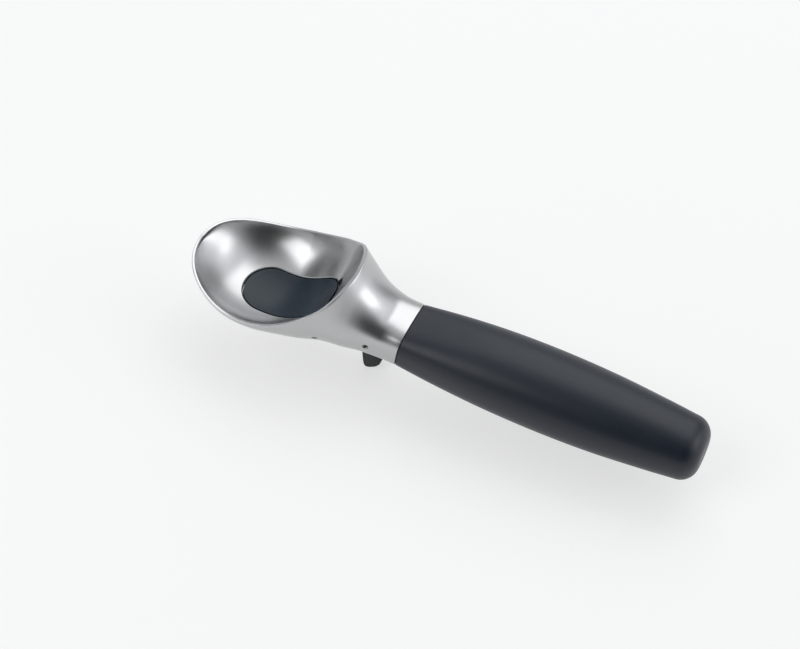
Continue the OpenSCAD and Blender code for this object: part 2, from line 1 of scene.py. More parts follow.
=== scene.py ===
"""The looks of the ice cream scoop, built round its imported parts.

Lengths in the shape functions are millimetres, measured from the bowl's tip: X towards the handle's end,
Z up out of the bowl, Y across. at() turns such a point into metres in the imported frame.
"""

import math

import bmesh
import bpy
from mathutils import Matrix, Vector


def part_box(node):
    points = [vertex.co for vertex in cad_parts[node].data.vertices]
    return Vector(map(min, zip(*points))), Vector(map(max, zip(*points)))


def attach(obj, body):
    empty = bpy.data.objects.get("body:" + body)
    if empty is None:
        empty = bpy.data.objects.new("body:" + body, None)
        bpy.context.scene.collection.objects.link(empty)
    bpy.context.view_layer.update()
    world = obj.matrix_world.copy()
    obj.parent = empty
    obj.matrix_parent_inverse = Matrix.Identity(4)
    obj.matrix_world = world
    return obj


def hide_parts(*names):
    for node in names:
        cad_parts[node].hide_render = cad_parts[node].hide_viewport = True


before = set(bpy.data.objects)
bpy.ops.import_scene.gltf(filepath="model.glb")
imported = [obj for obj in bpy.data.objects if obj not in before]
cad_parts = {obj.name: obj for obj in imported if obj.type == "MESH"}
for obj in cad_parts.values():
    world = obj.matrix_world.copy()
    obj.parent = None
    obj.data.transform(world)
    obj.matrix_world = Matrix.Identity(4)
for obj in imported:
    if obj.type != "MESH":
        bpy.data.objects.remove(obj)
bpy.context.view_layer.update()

# One millimetre in metres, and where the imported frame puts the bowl's tip
MM = 0.001
TIP_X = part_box("head_casting")[0][0]

# Whole scoop
OVERALL_LENGTH = 210.0

# Head
HEAD_LENGTH = 91.0
BOWL_WIDTH = 53.0
BOWL_DEPTH = 18.6
BODY_DEPTH = 21.6
CREST_HEIGHT = 13.2
CREST_X = 69.1
RIM_DIP = 7.0
LIP = 1.1
LIP_ROUND = 0.6
CREST_LIP = 0.25 * LIP
CREST_STEP = 0.9 * LIP
BACK_WALL = 2.2
WIDEST_X = 37.0
TIP_HALF = 0.6
BOWL_TIP_HALF = 0.3
BOWL_TIP_DEPTH = 0.3
FRONT_POWER = 2.2
FLOOR_POWER = 2
FLOOR_REACH = 0.95
FLOOR_EDGE = (1 - FLOOR_REACH**FLOOR_POWER) ** (1 / FLOOR_POWER)
HALF_BOWL = BOWL_WIDTH / 2
BOWL_FRONT = LIP
BOWL_BACK = CREST_X - LIP

# Joint between head and handle
JOINT_WIDTH = 25.2
JOINT_HEIGHT = 17.8
JOINT_DROP = 11.6
LEAN = math.tan(math.radians(8))
LEAN_START = 60.0
LEAN_FADE = 30.0
SEAL_THICKNESS = 0.6
HALF_JOINT = JOINT_WIDTH / 2
JOINT_TOP = -JOINT_DROP + JOINT_HEIGHT / 2
JOINT_BOTTOM = -JOINT_DROP - JOINT_HEIGHT / 2

# Tang inside the handle
TANG_LENGTH = 54.0
TANG_WIDTH = 12.0
TANG_HEIGHT = 8.0
TANG_DROP = 1.6
TANG_ROOT = 3.0
TANG_Z = -JOINT_DROP - TANG_DROP

# Handle
HANDLE_SPAN = OVERALL_LENGTH - HEAD_LENGTH - SEAL_THICKNESS
HALF_GRIP = 16.3
HALF_END = 12.5
HANDLE_DROOP = 4.0
END_RADIUS = 6.5
SLEEVE_WALL = 2.4
SLEEVE_END = 5.0

# Ejector plate
PLATE_WIDTH = 21.3
PLATE_FRONT = 19.6
PLATE_REAR = 57.2
PLATE_CORNER = 6.5
PLATE_T = 1.5
PLATE_GAP = 0.5
PLATE_SEAT_GAP = 0.2
PLATE_SINK = 0.05
STUD_D = 2.4
STUD_REACH = 0.3
STUD_PLACES = (47.8, 52.3)
ARM_DEPTH = 2.4

# Levers and their pins
EJECTOR_X = 60.3
EJECTOR_DEPTH = 9.2
EJECTOR_HUB = 2.1
TRIGGER_X = 79.0
TRIGGER_DEPTH = 10.0
TRIGGER_DROP = 27.0
STAND_HEIGHT = TRIGGER_DEPTH + TRIGGER_DROP
TRIGGER_WIDTH = 8.0
TRIGGER_HUB = 3.8
TRIGGER_NOSE = 2.6
TRIGGER_ROUND = 0.55
CHEEK_T = 1.7
WEB_DROP = 4.8
LEVER_CUT_WIDTH = 30.0
PIN_D = 2.4
PIN_WALL = 0.5
PIN_SLIT = 0.5
PIN_RECESS = 0.5
HEAD_BORE_ROOM = 0.04
LEVER_BORE_ROOM = 0.12
BORE_D = PIN_D + HEAD_BORE_ROOM
LEVER_BORE_D = PIN_D + LEVER_BORE_ROOM
LINK_D = 2.0
LINK_SHARE = 0.43
LINK_X = EJECTOR_X + LINK_SHARE * (TRIGGER_X - EJECTOR_X)
LINK_DEPTH = EJECTOR_DEPTH + LINK_SHARE * (TRIGGER_DEPTH - EJECTOR_DEPTH)
LINK_TRAVEL = 1.6
LINK_CLEARANCE = 0.3

# Slot for the levers, and a height below the whole head
SLOT_WIDTH = 9.2
SLOT_FRONT = 43.8
SLOT_REAR = 86.6
SLOT_ROOF = -3.2
HUB_ROOM = 0.5
BELOW_HEAD = -40.0

# Return spring
WIRE_D = 0.6
WIRE_ROOM = 0.3
COIL_RADIUS = 2.1
COIL_PITCH = 1.1
COIL_TURNS = 3.25
COIL_HALF = COIL_TURNS * COIL_PITCH / 2
REAR_LEG = 6.4
FRONT_LEG = 6.0
LEG_BEND = 0.9

RIM_HEIGHTS = [
    (0, 0), (6, -0.34 * RIM_DIP), (12, -0.66 * RIM_DIP), (18, -0.89 * RIM_DIP), (24, -RIM_DIP),
    (30, -0.97 * RIM_DIP), (37, -0.79 * RIM_DIP), (44, -0.47 * RIM_DIP), (52, 0.05 * CREST_HEIGHT),
    (60, 0.43 * CREST_HEIGHT), (CREST_X, CREST_HEIGHT), (75, 1.45 * CREST_HEIGHT),
]
SIDE_WIDTHS = [
    (WIDEST_X, HALF_BOWL), (44, 0.973 * HALF_BOWL), (52, 0.9 * HALF_BOWL), (60, 0.785 * HALF_BOWL),
    (68, 0.7 * HALF_BOWL), (76, 1.17 * HALF_JOINT), (84, 1.03 * HALF_JOINT), (HEAD_LENGTH, HALF_JOINT),
]
MIDDLE_HEIGHTS = [
    (0, 0), (12, -0.66 * RIM_DIP), (24, -RIM_DIP), (37, -0.79 * RIM_DIP), (46, -2.8), (56, -2),
    (64, -3), (72, -6.3), (80, -9), (HEAD_LENGTH, -JOINT_DROP),
]
TOP_HEIGHTS = [
    (0, 10), (30, 12), (50, 24), (60, 28), (CREST_X, CREST_HEIGHT), (72, 8.7), (76, 4.2), (80, 0.9),
    (84, -1.4), (HEAD_LENGTH, JOINT_TOP),
]
BOTTOM_HEIGHTS = [
    (0, -0.8), (2, -0.2 * BODY_DEPTH), (6, -0.445 * BODY_DEPTH), (12, -0.69 * BODY_DEPTH),
    (20, -0.885 * BODY_DEPTH), (28, -0.97 * BODY_DEPTH), (36, -BODY_DEPTH), (44, -1.01 * BODY_DEPTH),
    (60, -1.02 * BODY_DEPTH), (76, -1.01 * BODY_DEPTH), (HEAD_LENGTH, JOINT_BOTTOM),
]
UPPER_POWERS = [(0, 2.2), (36, 2.2), (52, 2.5), (70, 1.7), (HEAD_LENGTH, 3.2)]
LOWER_POWERS = [(0, 1.65), (36, 1.75), (52, 1.9), (70, 1.9), (HEAD_LENGTH, 3.2)]
FLOOR_HEIGHTS = [
    (0, -1), (3, -0.215 * BOWL_DEPTH), (8, -0.52 * BOWL_DEPTH), (14, -0.76 * BOWL_DEPTH),
    (20, -0.895 * BOWL_DEPTH), (27, -0.97 * BOWL_DEPTH), (34, -BOWL_DEPTH), (39, -0.975 * BOWL_DEPTH),
    (44, -0.875 * BOWL_DEPTH), (49, -0.725 * BOWL_DEPTH), (54, -0.565 * BOWL_DEPTH), (58, -6.8),
    (64, 3.6), (CREST_X, CREST_HEIGHT),
]
HANDLE_WIDTHS = [
    (0, HALF_JOINT), (0.134, 0.874 * HALF_GRIP), (0.303, 0.972 * HALF_GRIP), (0.487, HALF_GRIP),
    (0.672, 0.956 * HALF_GRIP), (0.84, 0.85 * HALF_GRIP), (0.945, HALF_END), (1, 0.96 * HALF_END),
]
HANDLE_RATIOS = [(0, JOINT_HEIGHT / JOINT_WIDTH), (0.134, 0.77), (0.3, 0.83), (0.67, 0.86), (1, 0.88)]
HANDLE_POWERS = [(0, 3.2), (0.134, 2.8), (0.3, 2.35), (0.67, 2.2), (1, 2.3)]
HANDLE_FALLS = [(0, 0), (0.336, 0.29), (0.672, 0.67), (1, 1)]

# Sides of the room that are darker or lighter: azimuth and elevation in degrees, where each starts
# as the cosine of its angle, and its share of the room's brightness
ROOM_LIGHT = 0.72
ROOM_SIDES = [
    (-64, 42, 0.6, 0.06), (180, 26, 0.88, 0.2), (58, 16, 0.95, 0.4), (33, 5, 0.78, 1.8), (33, 50, 0.88, 1.5),
]


def at(x, y, z):
    """A point of the scoop in metres."""
    return Vector((TIP_X + x * MM, y * MM, (z + STAND_HEIGHT) * MM))


def slope_at(table, i):
    """Slope of a table's curve at one of its points."""
    a = max(i - 1, 0)
    b = min(i + 1, len(table) - 1)
    return (table[b][1] - table[a][1]) / (table[b][0] - table[a][0])


def curve(table, x):
    """Smooth curve through a table of positions and values."""
    i = 0
    while i < len(table) - 2 and x >= table[i + 1][0]:
        i += 1
    step = table[i + 1][0] - table[i][0]
    s = min(max((x - table[i][0]) / step, 0), 1)
    rise = step * slope_at(table, i)
    run = step * slope_at(table, i + 1)
    start = table[i][1] * (2 * s**3 - 3 * s**2 + 1) + rise * (s**3 - 2 * s**2 + s)
    return start + table[i + 1][1] * (3 * s**2 - 2 * s**3) + run * (s**3 - s**2)


def eased(s):
    """A share from 0 to 1 that starts and ends gently."""
    s = min(max(s, 0), 1)
    return s**2 * (3 - 2 * s)


def powered(v, power):
    """Power of a size, with the sign kept."""
    return math.copysign(abs(v) ** power, v)


def front_width(x, half):
    """Half width of an oval front of a given half width."""
    return half * max(1 - (1 - x / WIDEST_X) ** FRONT_POWER, 0) ** (1 / FRONT_POWER)


def outer_width(x):
    """Half width of the head's outside."""
    if x < WIDEST_X:
        return max(front_width(max(x, 0), HALF_BOWL), TIP_HALF)
    return curve(SIDE_WIDTHS, x)


def rim_z(x):
    """Height of the rim."""
    return curve(RIM_HEIGHTS, x)


def reaches(x):
    """Height of the widest line, and how far the outside reaches above and below it."""
    middle = curve(MIDDLE_HEIGHTS, x)
    return middle, curve(TOP_HEIGHTS, x) - middle, middle - curve(BOTTOM_HEIGHTS, x)


def outer_point(x, angle):
    """Point of the head's outside at an angle round the section at x."""
    middle, above, below = reaches(x)
    upper = math.sin(angle) >= 0
    power = curve(UPPER_POWERS if upper else LOWER_POWERS, x)
    y = outer_width(x) * powered(math.cos(angle), 2 / power)
    z = middle + (above if upper else below) * powered(math.sin(angle), 2 / power)
    share = eased((x - LEAN_START) / (HEAD_LENGTH - LEAN_START))
    return (x + LEAN * (z + JOINT_DROP) * share, y, z)


def angle_at(x, z):
    """Angle round the section at x where the outside is at height z."""
    middle, above, below = reaches(x)
    if z >= middle:
        share = min((z - middle) / above, 1)
        return math.asin(share ** (curve(UPPER_POWERS, x) / 2))
    share = min((middle - z) / below, 1)
    return -math.asin(share ** (curve(LOWER_POWERS, x) / 2))


def rim_half(x):
    """Half width of the outside at the rim's height."""
    middle, above, _ = reaches(x)
    power = curve(UPPER_POWERS, x)
    height = min(max(rim_z(x) - middle, 0) / above, 1)
    return outer_width(x) * (1 - height**power) ** (1 / power)


def bowl_half(x):
    """Half width of the bowl's inside, a lip's width inside the rim and kept clear of the closing crest."""
    if x < WIDEST_X:
        along = max(x - LIP, 0) * WIDEST_X / (WIDEST_X - LIP)
        return max(front_width(min(along, WIDEST_X), HALF_BOWL - LIP), BOWL_TIP_HALF)
    ahead = rim_half(min(x + CREST_STEP, CREST_X))
    return max(min(rim_half(x) - LIP, ahead - CREST_LIP), BOWL_TIP_HALF)


def floor_z(x, y):
    """Height of the bowl's inside."""
    rim = rim_z(x)
    middle = min(curve(FLOOR_HEIGHTS, x), rim - BOWL_TIP_DEPTH)
    share = FLOOR_REACH * min(abs(y) / bowl_half(x), 1)
    fall = ((1 - share**FLOOR_POWER) ** (1 / FLOOR_POWER) - FLOOR_EDGE) / (1 - FLOOR_EDGE)
    return rim - (rim - middle) * fall


def floor_slope(x):
    """Slope of the bowl's floor line, taken over one millimetre."""
    return curve(FLOOR_HEIGHTS, x + 0.5) - curve(FLOOR_HEIGHTS, x - 0.5)


def sunk_floor(x, y, depth):
    """Height of a layer under the bowl's floor."""
    return floor_z(x, y) - depth * math.sqrt(1 + floor_slope(x) ** 2)


def side_reach(x, z):
    """Half width of the outside at a height."""
    middle, above, below = reaches(x)
    power = curve(UPPER_POWERS if z > middle else LOWER_POWERS, x)
    reach = above if z > middle else below
    return outer_width(x) * (1 - (abs(z - middle) / reach) ** power) ** (1 / power)


def ring_start(bm, points, closed=True):
    """First ring of a skin."""
    ring = [bm.verts.new(at(*p)) for p in points]
    ends = ring[1:] + ring[:1] if closed else ring[1:]
    for a, b in zip(ring, ends):
        bm.edges.new((a, b))
    return ring


def ring_next(bm, ring, points, closed=True):
    """Extrudes a ring to the next one of a skin."""
    ends = ring[1:] + ring[:1] if closed else ring[1:]
    edges = [bm.edges.get(pair) for pair in zip(ring, ends)]
    made = bmesh.ops.extrude_edge_only(bm, edges=edges)["geom"]
    fresh = {v for v in made if isinstance(v, bmesh.types.BMVert)}
    new = [next(e.other_vert(v) for e in v.link_edges if e.other_vert(v) in fresh) for v in ring]
    for v, p in zip(new, points):
        v.co = at(*p)
    return new


def skin(bm, rings, closed=True):
    """Skin through rings of points, and its first and last ring."""
    first = ring = ring_start(bm, rings[0], closed)
    for points in rings[1:]:
        ring = ring_next(bm, ring, points, closed)
    return first, ring


def sewn(bm):
    """Merges a skin's seams, drops its slivers and turns its faces outwards."""
    seam, sliver = 1e-7, 1e-8
    bmesh.ops.remove_doubles(bm, verts=bm.verts, dist=seam)
    bmesh.ops.dissolve_degenerate(bm, edges=bm.edges, dist=sliver)
    bmesh.ops.recalc_face_normals(bm, faces=bm.faces)


def drawn_together(rings):
    """Closed skin whose first and last rings are each drawn together into one point."""
    bm = bmesh.new()
    for ring in skin(bm, rings):
        centre = sum((v.co for v in ring), Vector()) / len(ring)
        bmesh.ops.pointmerge(bm, verts=ring, merge_co=centre)
    sewn(bm)
    return bm


def capped(rings):
    """Closed skin with a flat face over its first ring and its last."""
    bm = bmesh.new()
    for ring in skin(bm, rings):
        bm.faces.new(ring)
    sewn(bm)
    return bm


def piece_from(bm, name):
    """Scene object made from a finished bmesh."""
    mesh = bpy.data.meshes.new(name)
    bm.to_mesh(mesh)
    bm.free()
    piece = bpy.data.objects.new(name, mesh)
    bpy.context.scene.collection.objects.link(piece)
    return piece


def rectangle(x_start, x_end, z_start, z_end):
    """Outline of a rectangle in X and Z."""
    return [(x_start, z_start), (x_end, z_start), (x_end, z_end), (x_start, z_end)]


def slab(outline, width):
    """Slab across the scoop from an outline drawn in X and Z."""
    bm = bmesh.new()
    face = bm.faces.new([bm.verts.new(at(x, -width / 2, z)) for x, z in outline])
    made = bmesh.ops.extrude_face_region(bm, geom=[face])["geom"]
    moved = [v for v in made if isinstance(v, bmesh.types.BMVert)]
    bmesh.ops.translate(bm, verts=moved, vec=(0, width * MM, 0))
    sewn(bm)
    return bm


def block(outline, width, name):
    """Scene object made from a slab."""
    return piece_from(slab(outline, width), name)


def rod(d, length, place, sides, name):
    """Cylinder of a diameter and a length, turned and moved to its place."""
    bm = bmesh.new()
    bmesh.ops.create_cone(
        bm, cap_ends=True, segments=sides, radius1=d / 2 * MM, radius2=d / 2 * MM,
        depth=length * MM, matrix=place
    )
    return piece_from(bm, name)


def cross_round(x, depth, d, width, name, sides=64):
    """Cylinder across the scoop."""
    place = Matrix.Translation(at(x, 0, -depth)) @ Matrix.Rotation(math.pi / 2, 4, "X")
    return rod(d, width, place, sides, name)


def joined(piece, tools, operation):
    """Cuts tools out of a piece or adds them to it."""
    for tool in tools:
        step = piece.modifiers.new("step", "BOOLEAN")
        step.operation = operation
        step.solver = "MANIFOLD"
        step.object = tool
    graph = bpy.context.evaluated_depsgraph_get()
    mesh = bpy.data.meshes.new_from_object(piece.evaluated_get(graph))
    piece.modifiers.clear()
    piece.data = mesh
    for tool in tools:
        bpy.data.objects.remove(tool)
    return piece


def smoothed(piece, angle=32):
    """Smooth shading with crisp edges."""
    piece.data.shade_smooth()
    piece.data.set_sharp_from_angle(angle=math.radians(angle))
    return piece


def dressed(piece, body, slot, material, *nodes):
    """Gives a finished piece its body and its finish, and hides the imported nodes that it stands for."""
    piece.data.materials.clear()
    piece.data.materials.append(material)
    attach(piece, body)
    if nodes:
        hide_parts(*nodes)
    return piece


def crest_close():
    """Distance just behind the crest where the outside closes over the neck, found by halving."""
    halvings = 40
    low, high = CREST_X, CREST_X + 1
    for _ in range(halvings):
        x = (low + high) / 2
        if curve(TOP_HEIGHTS, x) > rim_z(x) - LIP_ROUND:
            low = x
        else:
            high = x
    return high


def head_stations(close):
    """Places of the sections under the open bowl, and of those of the neck."""
    front, middle, neck = 60, 96, 40
    bowl = [WIDEST_X * (1 - math.cos(math.pi / 2 * k / front)) for k in range(front)]
    bowl += [close - (close - WIDEST_X) * (1 - k / middle) ** 2 for k in range(middle + 1)]
    return bowl, [close + (HEAD_LENGTH - close) * k / neck for k in range(1, neck + 1)]


def outside_arc(x, trim):
    """Points round the outside at x, from one edge of its opening to the other."""
    steps = 128
    reach = math.pi / 2 if trim is None else angle_at(x, trim)
    start, end = math.pi - reach, 2 * math.pi + reach
    return [outer_point(x, start + (end - start) * k / steps) for k in range(steps + 1)]


def bent(a, corner, b, s):
    """Point of a rounded corner between a and b."""
    near = [p + (q - p) * s for p, q in zip(a, corner)]
    far = [p + (q - p) * s for p, q in zip(corner, b)]
    return tuple(p + (q - p) * s for p, q in zip(near, far))


def bowl_inside(x, side, turn):
    """Point of the bowl's inside, from its edge at turn 0 to the middle of its floor at a quarter turn."""
    centre = 34.0
    s = (1 - math.sin(turn) ** FLOOR_POWER) ** (1 / FLOOR_POWER) if turn < math.pi / 2 else 0
    px = centre + s * (x - centre)
    py = side * s * (bowl_half(x) if side else 0)
    return (px, py, floor_z(px, py))


def lip_column(x, side):
    """Points from the outside's edge at x over the rim and down to the middle of the bowl's floor."""
    first_turn = math.radians(1.5)
    corner_steps, floor_loops = 5, 60
    largest_share = 0.48
    rim_x = min(x, CREST_X)
    inner_x = BOWL_FRONT + rim_x / CREST_X * (BOWL_BACK - BOWL_FRONT)
    edge = outer_point(x, angle_at(x, rim_z(x) - LIP_ROUND) if side else math.pi / 2)
    edge = (edge[0], side * edge[1], edge[2])
    rim = (outer_point(rim_x, angle_at(rim_x, rim_z(rim_x)))[0], side * rim_half(rim_x), rim_z(rim_x))
    inner = (inner_x, side * bowl_half(inner_x), rim_z(inner_x))
    wall = bowl_inside(inner_x, side, first_turn)
    share = min(LIP_ROUND / math.dist(rim, inner), largest_share)
    top_out = tuple(p + (q - p) * share for p, q in zip(rim, inner))
    top_in = tuple(q + (p - q) * share for p, q in zip(rim, inner))
    column = [bent(edge, rim, top_out, k / corner_steps) for k in range(corner_steps + 1)]
    column += [bent(top_in, inner, wall, k / corner_steps) for k in range(corner_steps + 1)]
    for k in range(1, floor_loops + 1):
        turn = first_turn + (math.pi / 2 - first_turn) * k / floor_loops
        column.append(bowl_inside(inner_x, side, turn))
    return column


def lip_loops(stations, close):
    """Loops over the rim and down into the bowl, each one round the whole bowl."""
    places = [(x, 1) for x in stations[:-1]] + [(close, 0)] + [(x, -1) for x in reversed(stations[:-1])]
    return list(zip(*[lip_column(x, side) for x, side in places]))


def head_skin():
    """Closed skin of the head with its bowl and rounded rim."""
    close = crest_close()
    bowl, neck = head_stations(close)
    bm = bmesh.new()
    arcs = [outside_arc(x, rim_z(x) - LIP_ROUND) for x in bowl[:-1]] + [outside_arc(close, None)]
    arcs += [outside_arc(x, None) for x in neck]
    first, last = skin(bm, arcs, closed=False)
    bm.faces.new(first)
    bm.faces.new(last[:-1])
    _, centre = skin(bm, lip_loops(bowl, close))
    bmesh.ops.pointmerge(bm, verts=centre, merge_co=centre[0].co)
    sewn(bm)
    return piece_from(bm, "head")


def plate_edge(grow, steps=16):
    """Outline of the ejector plate in plan, grown by a distance."""
    half = PLATE_WIDTH / 2 + grow
    nose_x = PLATE_FRONT + PLATE_WIDTH / 2
    corner = PLATE_CORNER + grow
    rear_x = PLATE_REAR - PLATE_CORNER
    points = []
    for k in range(3 * steps + 1):
        a = math.pi / 2 + math.pi * k / (3 * steps)
        points.append((nose_x + half * math.cos(a), half * math.sin(a)))
    run = rear_x - nose_x
    points += [(nose_x + run * k / steps, -half) for k in range(1, steps)]
    for side in (-1, 1):
        for k in range(steps + 1):
            a = (-math.pi / 2 if side < 0 else 0) + math.pi / 2 * k / steps
            points.append((rear_x + corner * math.cos(a), side * (half - corner) + corner * math.sin(a)))
    points += [(rear_x - run * k / steps, half) for k in range(1, steps)]
    return points


def plate_rings(grow, height, loops, outwards):
    """Rings between the middle of the plate and its outline, on a layer of the floor."""
    middle_x = (PLATE_FRONT + PLATE_REAR) / 2
    edge = plate_edge(grow)
    rings = []
    for k in range(1, loops + 1):
        s = (k if outwards else loops + 1 - k) / loops
        ring = [(middle_x + s * (x - middle_x), s * y) for x, y in edge]
        rings.append([(x, y, height(x, y)) for x, y in ring])
    return rings


def recess_cutter():
    """Room for the plate in the bowl's floor, with a fine chamfer round its edge."""
    chamfer, headroom = 0.3, 5
    depth = PLATE_T + PLATE_SEAT_GAP
    mouth = PLATE_GAP + 3 * chamfer
    rings = plate_rings(PLATE_GAP, lambda x, y: sunk_floor(x, y, depth), loops=14, outwards=True)
    for grow, lift in [(PLATE_GAP, -chamfer), (PLATE_GAP + chamfer, 0.0), (mouth, 2 * chamfer)]:
        rings.append([(x, y, floor_z(x, y) + lift) for x, y in plate_edge(grow)])
    rings += plate_rings(mouth, lambda x, y: floor_z(x, y) + headroom, loops=3, outwards=False)
    return piece_from(drawn_together(rings), "recess_tool")


def slot_cutter():
    """Slot for the levers, open at the bottom."""
    below_floor = 0.5
    wall_x = PLATE_REAR + PLATE_GAP
    floor_x = wall_x - 2
    hub_top = -EJECTOR_DEPTH + EJECTOR_HUB + HUB_ROOM
    seat = -TRIGGER_DEPTH + COIL_RADIUS + WIRE_D / 2 + WIRE_ROOM
    outline = [
        (SLOT_FRONT, BELOW_HEAD), (SLOT_FRONT, curve(FLOOR_HEIGHTS, SLOT_FRONT) - below_floor),
        (floor_x, curve(FLOOR_HEIGHTS, floor_x) - below_floor),
        (wall_x, curve(FLOOR_HEIGHTS, wall_x) - 0.9 * BACK_WALL), (wall_x + 1.2, hub_top),
        (EJECTOR_X + 3, hub_top), (EJECTOR_X + 6.1, SLOT_ROOF), (TRIGGER_X - 5, SLOT_ROOF),
        (TRIGGER_X + 2.5, -TRIGGER_DEPTH + TRIGGER_HUB + HUB_ROOM), (TRIGGER_X + 4.2, seat),
        (SLOT_REAR, seat), (SLOT_REAR, BELOW_HEAD),
    ]
    return block(outline, SLOT_WIDTH, "slot_tool")


def relief_cutter():
    """Room for the plate's rear edge as it swings back, a sector round the ejector's pin."""
    start, sweep, steps = 112, 74, 16
    rise = floor_z(PLATE_REAR, (PLATE_WIDTH - PLATE_CORNER) / 2) + EJECTOR_DEPTH
    radius = math.hypot(PLATE_REAR - EJECTOR_X, rise) + PLATE_GAP
    outline = [(EJECTOR_X, -EJECTOR_DEPTH)]
    for k in range(steps + 1):
        a = math.radians(start + sweep * k / steps)
        outline.append((EJECTOR_X + radius * math.cos(a), -EJECTOR_DEPTH + radius * math.sin(a)))
    return block(outline, PLATE_WIDTH + 2 * PLATE_GAP, "relief_tool")


def tang_block():
    """Tang that carries the handle, rooted in the head."""
    start, end = HEAD_LENGTH - TANG_ROOT, HEAD_LENGTH + TANG_LENGTH
    low, high = TANG_Z - TANG_HEIGHT / 2, TANG_Z + TANG_HEIGHT / 2
    return block(rectangle(start, end, low, high), TANG_WIDTH, "tang_tool")


def head():
    """Metal head: bowl, rim, neck and tang."""
    piece = head_skin()
    tools = [
        recess_cutter(),
        slot_cutter(),
        relief_cutter(),
        cross_round(EJECTOR_X, EJECTOR_DEPTH, BORE_D, 2 * BOWL_WIDTH, "bore_tool"),
        cross_round(TRIGGER_X, TRIGGER_DEPTH, BORE_D, 2 * BOWL_WIDTH, "bore_tool"),
    ]
    joined(piece, tools, "DIFFERENCE")
    joined(piece, [tang_block()], "UNION")
    return dressed(smoothed(piece), "body", "satin_metal", satin_metal(), "head_casting")


def plate():
    """Curved plate in the bowl's floor, with a rounded edge and its two studs."""
    edge_round = 0.3
    turn = 4
    rings = plate_rings(-edge_round, lambda x, y: floor_z(x, y) - PLATE_SINK, loops=22, outwards=True)
    for k in range(1, turn + 1):
        a = math.pi / 2 * k / turn
        grow = -edge_round * (1 - math.sin(a))
        fall = PLATE_SINK + edge_round * (1 - math.cos(a))
        rings.append([(x, y, floor_z(x, y) - fall) for x, y in plate_edge(grow)])
    rings += plate_rings(0, lambda x, y: sunk_floor(x, y, PLATE_T), loops=12, outwards=False)
    piece = piece_from(drawn_together(rings), "plate")
    joined(piece, [plate_stud(x) for x in STUD_PLACES], "UNION")
    return dressed(smoothed(piece), "ejector", "plate_plastic", plate_plastic(), "ejector_plate")


def plate_stud(x):
    """Stud under the plate, square to it."""
    length = ARM_DEPTH + STUD_REACH + PLATE_T / 2
    tilt = Matrix.Rotation(-math.atan(floor_slope(x)), 4, "Y")
    place = Matrix.Translation(at(x, 0, sunk_floor(x, 0, PLATE_T / 2))) @ tilt
    place = place @ Matrix.Translation((0, 0, -length / 2 * MM))
    return rod(STUD_D, length, place, 32, "stud_tool")


def handle_ring(u, inset):
    """Ring round the handle at a distance from the joint, drawn in by an inset."""
    steps = 112
    s = u / HANDLE_SPAN
    half = curve(HANDLE_WIDTHS, s)
    power = curve(HANDLE_POWERS, s)
    middle = -JOINT_DROP - HANDLE_DROOP * curve(HANDLE_FALLS, s)
    share = eased(1 - u / LEAN_FADE)
    tall = half * curve(HANDLE_RATIOS, s) - inset
    ring = []
    for k in range(steps):
        a = 2 * math.pi * k / steps
        z = middle + tall * powered(math.sin(a), 2 / power)
        x = HEAD_LENGTH + SEAL_THICKNESS + u + LEAN * (z + JOINT_DROP) * share
        ring.append((x, (half - inset) * powered(math.cos(a), 2 / power), z))
    return ring


def handle_rings(inset, span, radius, sections):
    """Rings from the joint to a rounded end."""
    turn = 12
    straight = span - radius
    rings = [handle_ring(straight * k / sections, inset) for k in range(sections)]
    for k in range(turn + 1):
        a = math.pi / 2 * k / turn
        rings.append(handle_ring(straight + radius * math.sin(a), inset + radius * (1 - math.cos(a))))
    return rings


def grip():
    """Soft sleeve of the handle."""
    inner = handle_rings(SLEEVE_WALL, HANDLE_SPAN - SLEEVE_END, END_RADIUS - SLEEVE_WALL, sections=40)
    outer = handle_rings(0, HANDLE_SPAN, END_RADIUS, sections=90)
    piece = smoothed(piece_from(capped(inner[::-1] + outer), "grip"), 50)
    return dressed(piece, "body", "grip_rubber", grip_rubber(), "handle_grip")


def smooth_line(points, steps):
    """Smooth line through points in X and Z, without the last of them."""
    last = len(points) - 1
    line = []
    for i in range(last):
        p = [Vector(points[min(max(i + d, 0), last)]) for d in (-1, 0, 1, 2)]
        for k in range(steps):
            t = k / steps
            line.append(0.5 * (
                2 * p[1] + (p[2] - p[0]) * t + (2 * p[0] - 5 * p[1] + 4 * p[2] - p[3]) * t**2
                + (3 * p[1] - p[0] - 3 * p[2] + p[3]) * t**3
            ))
    return line


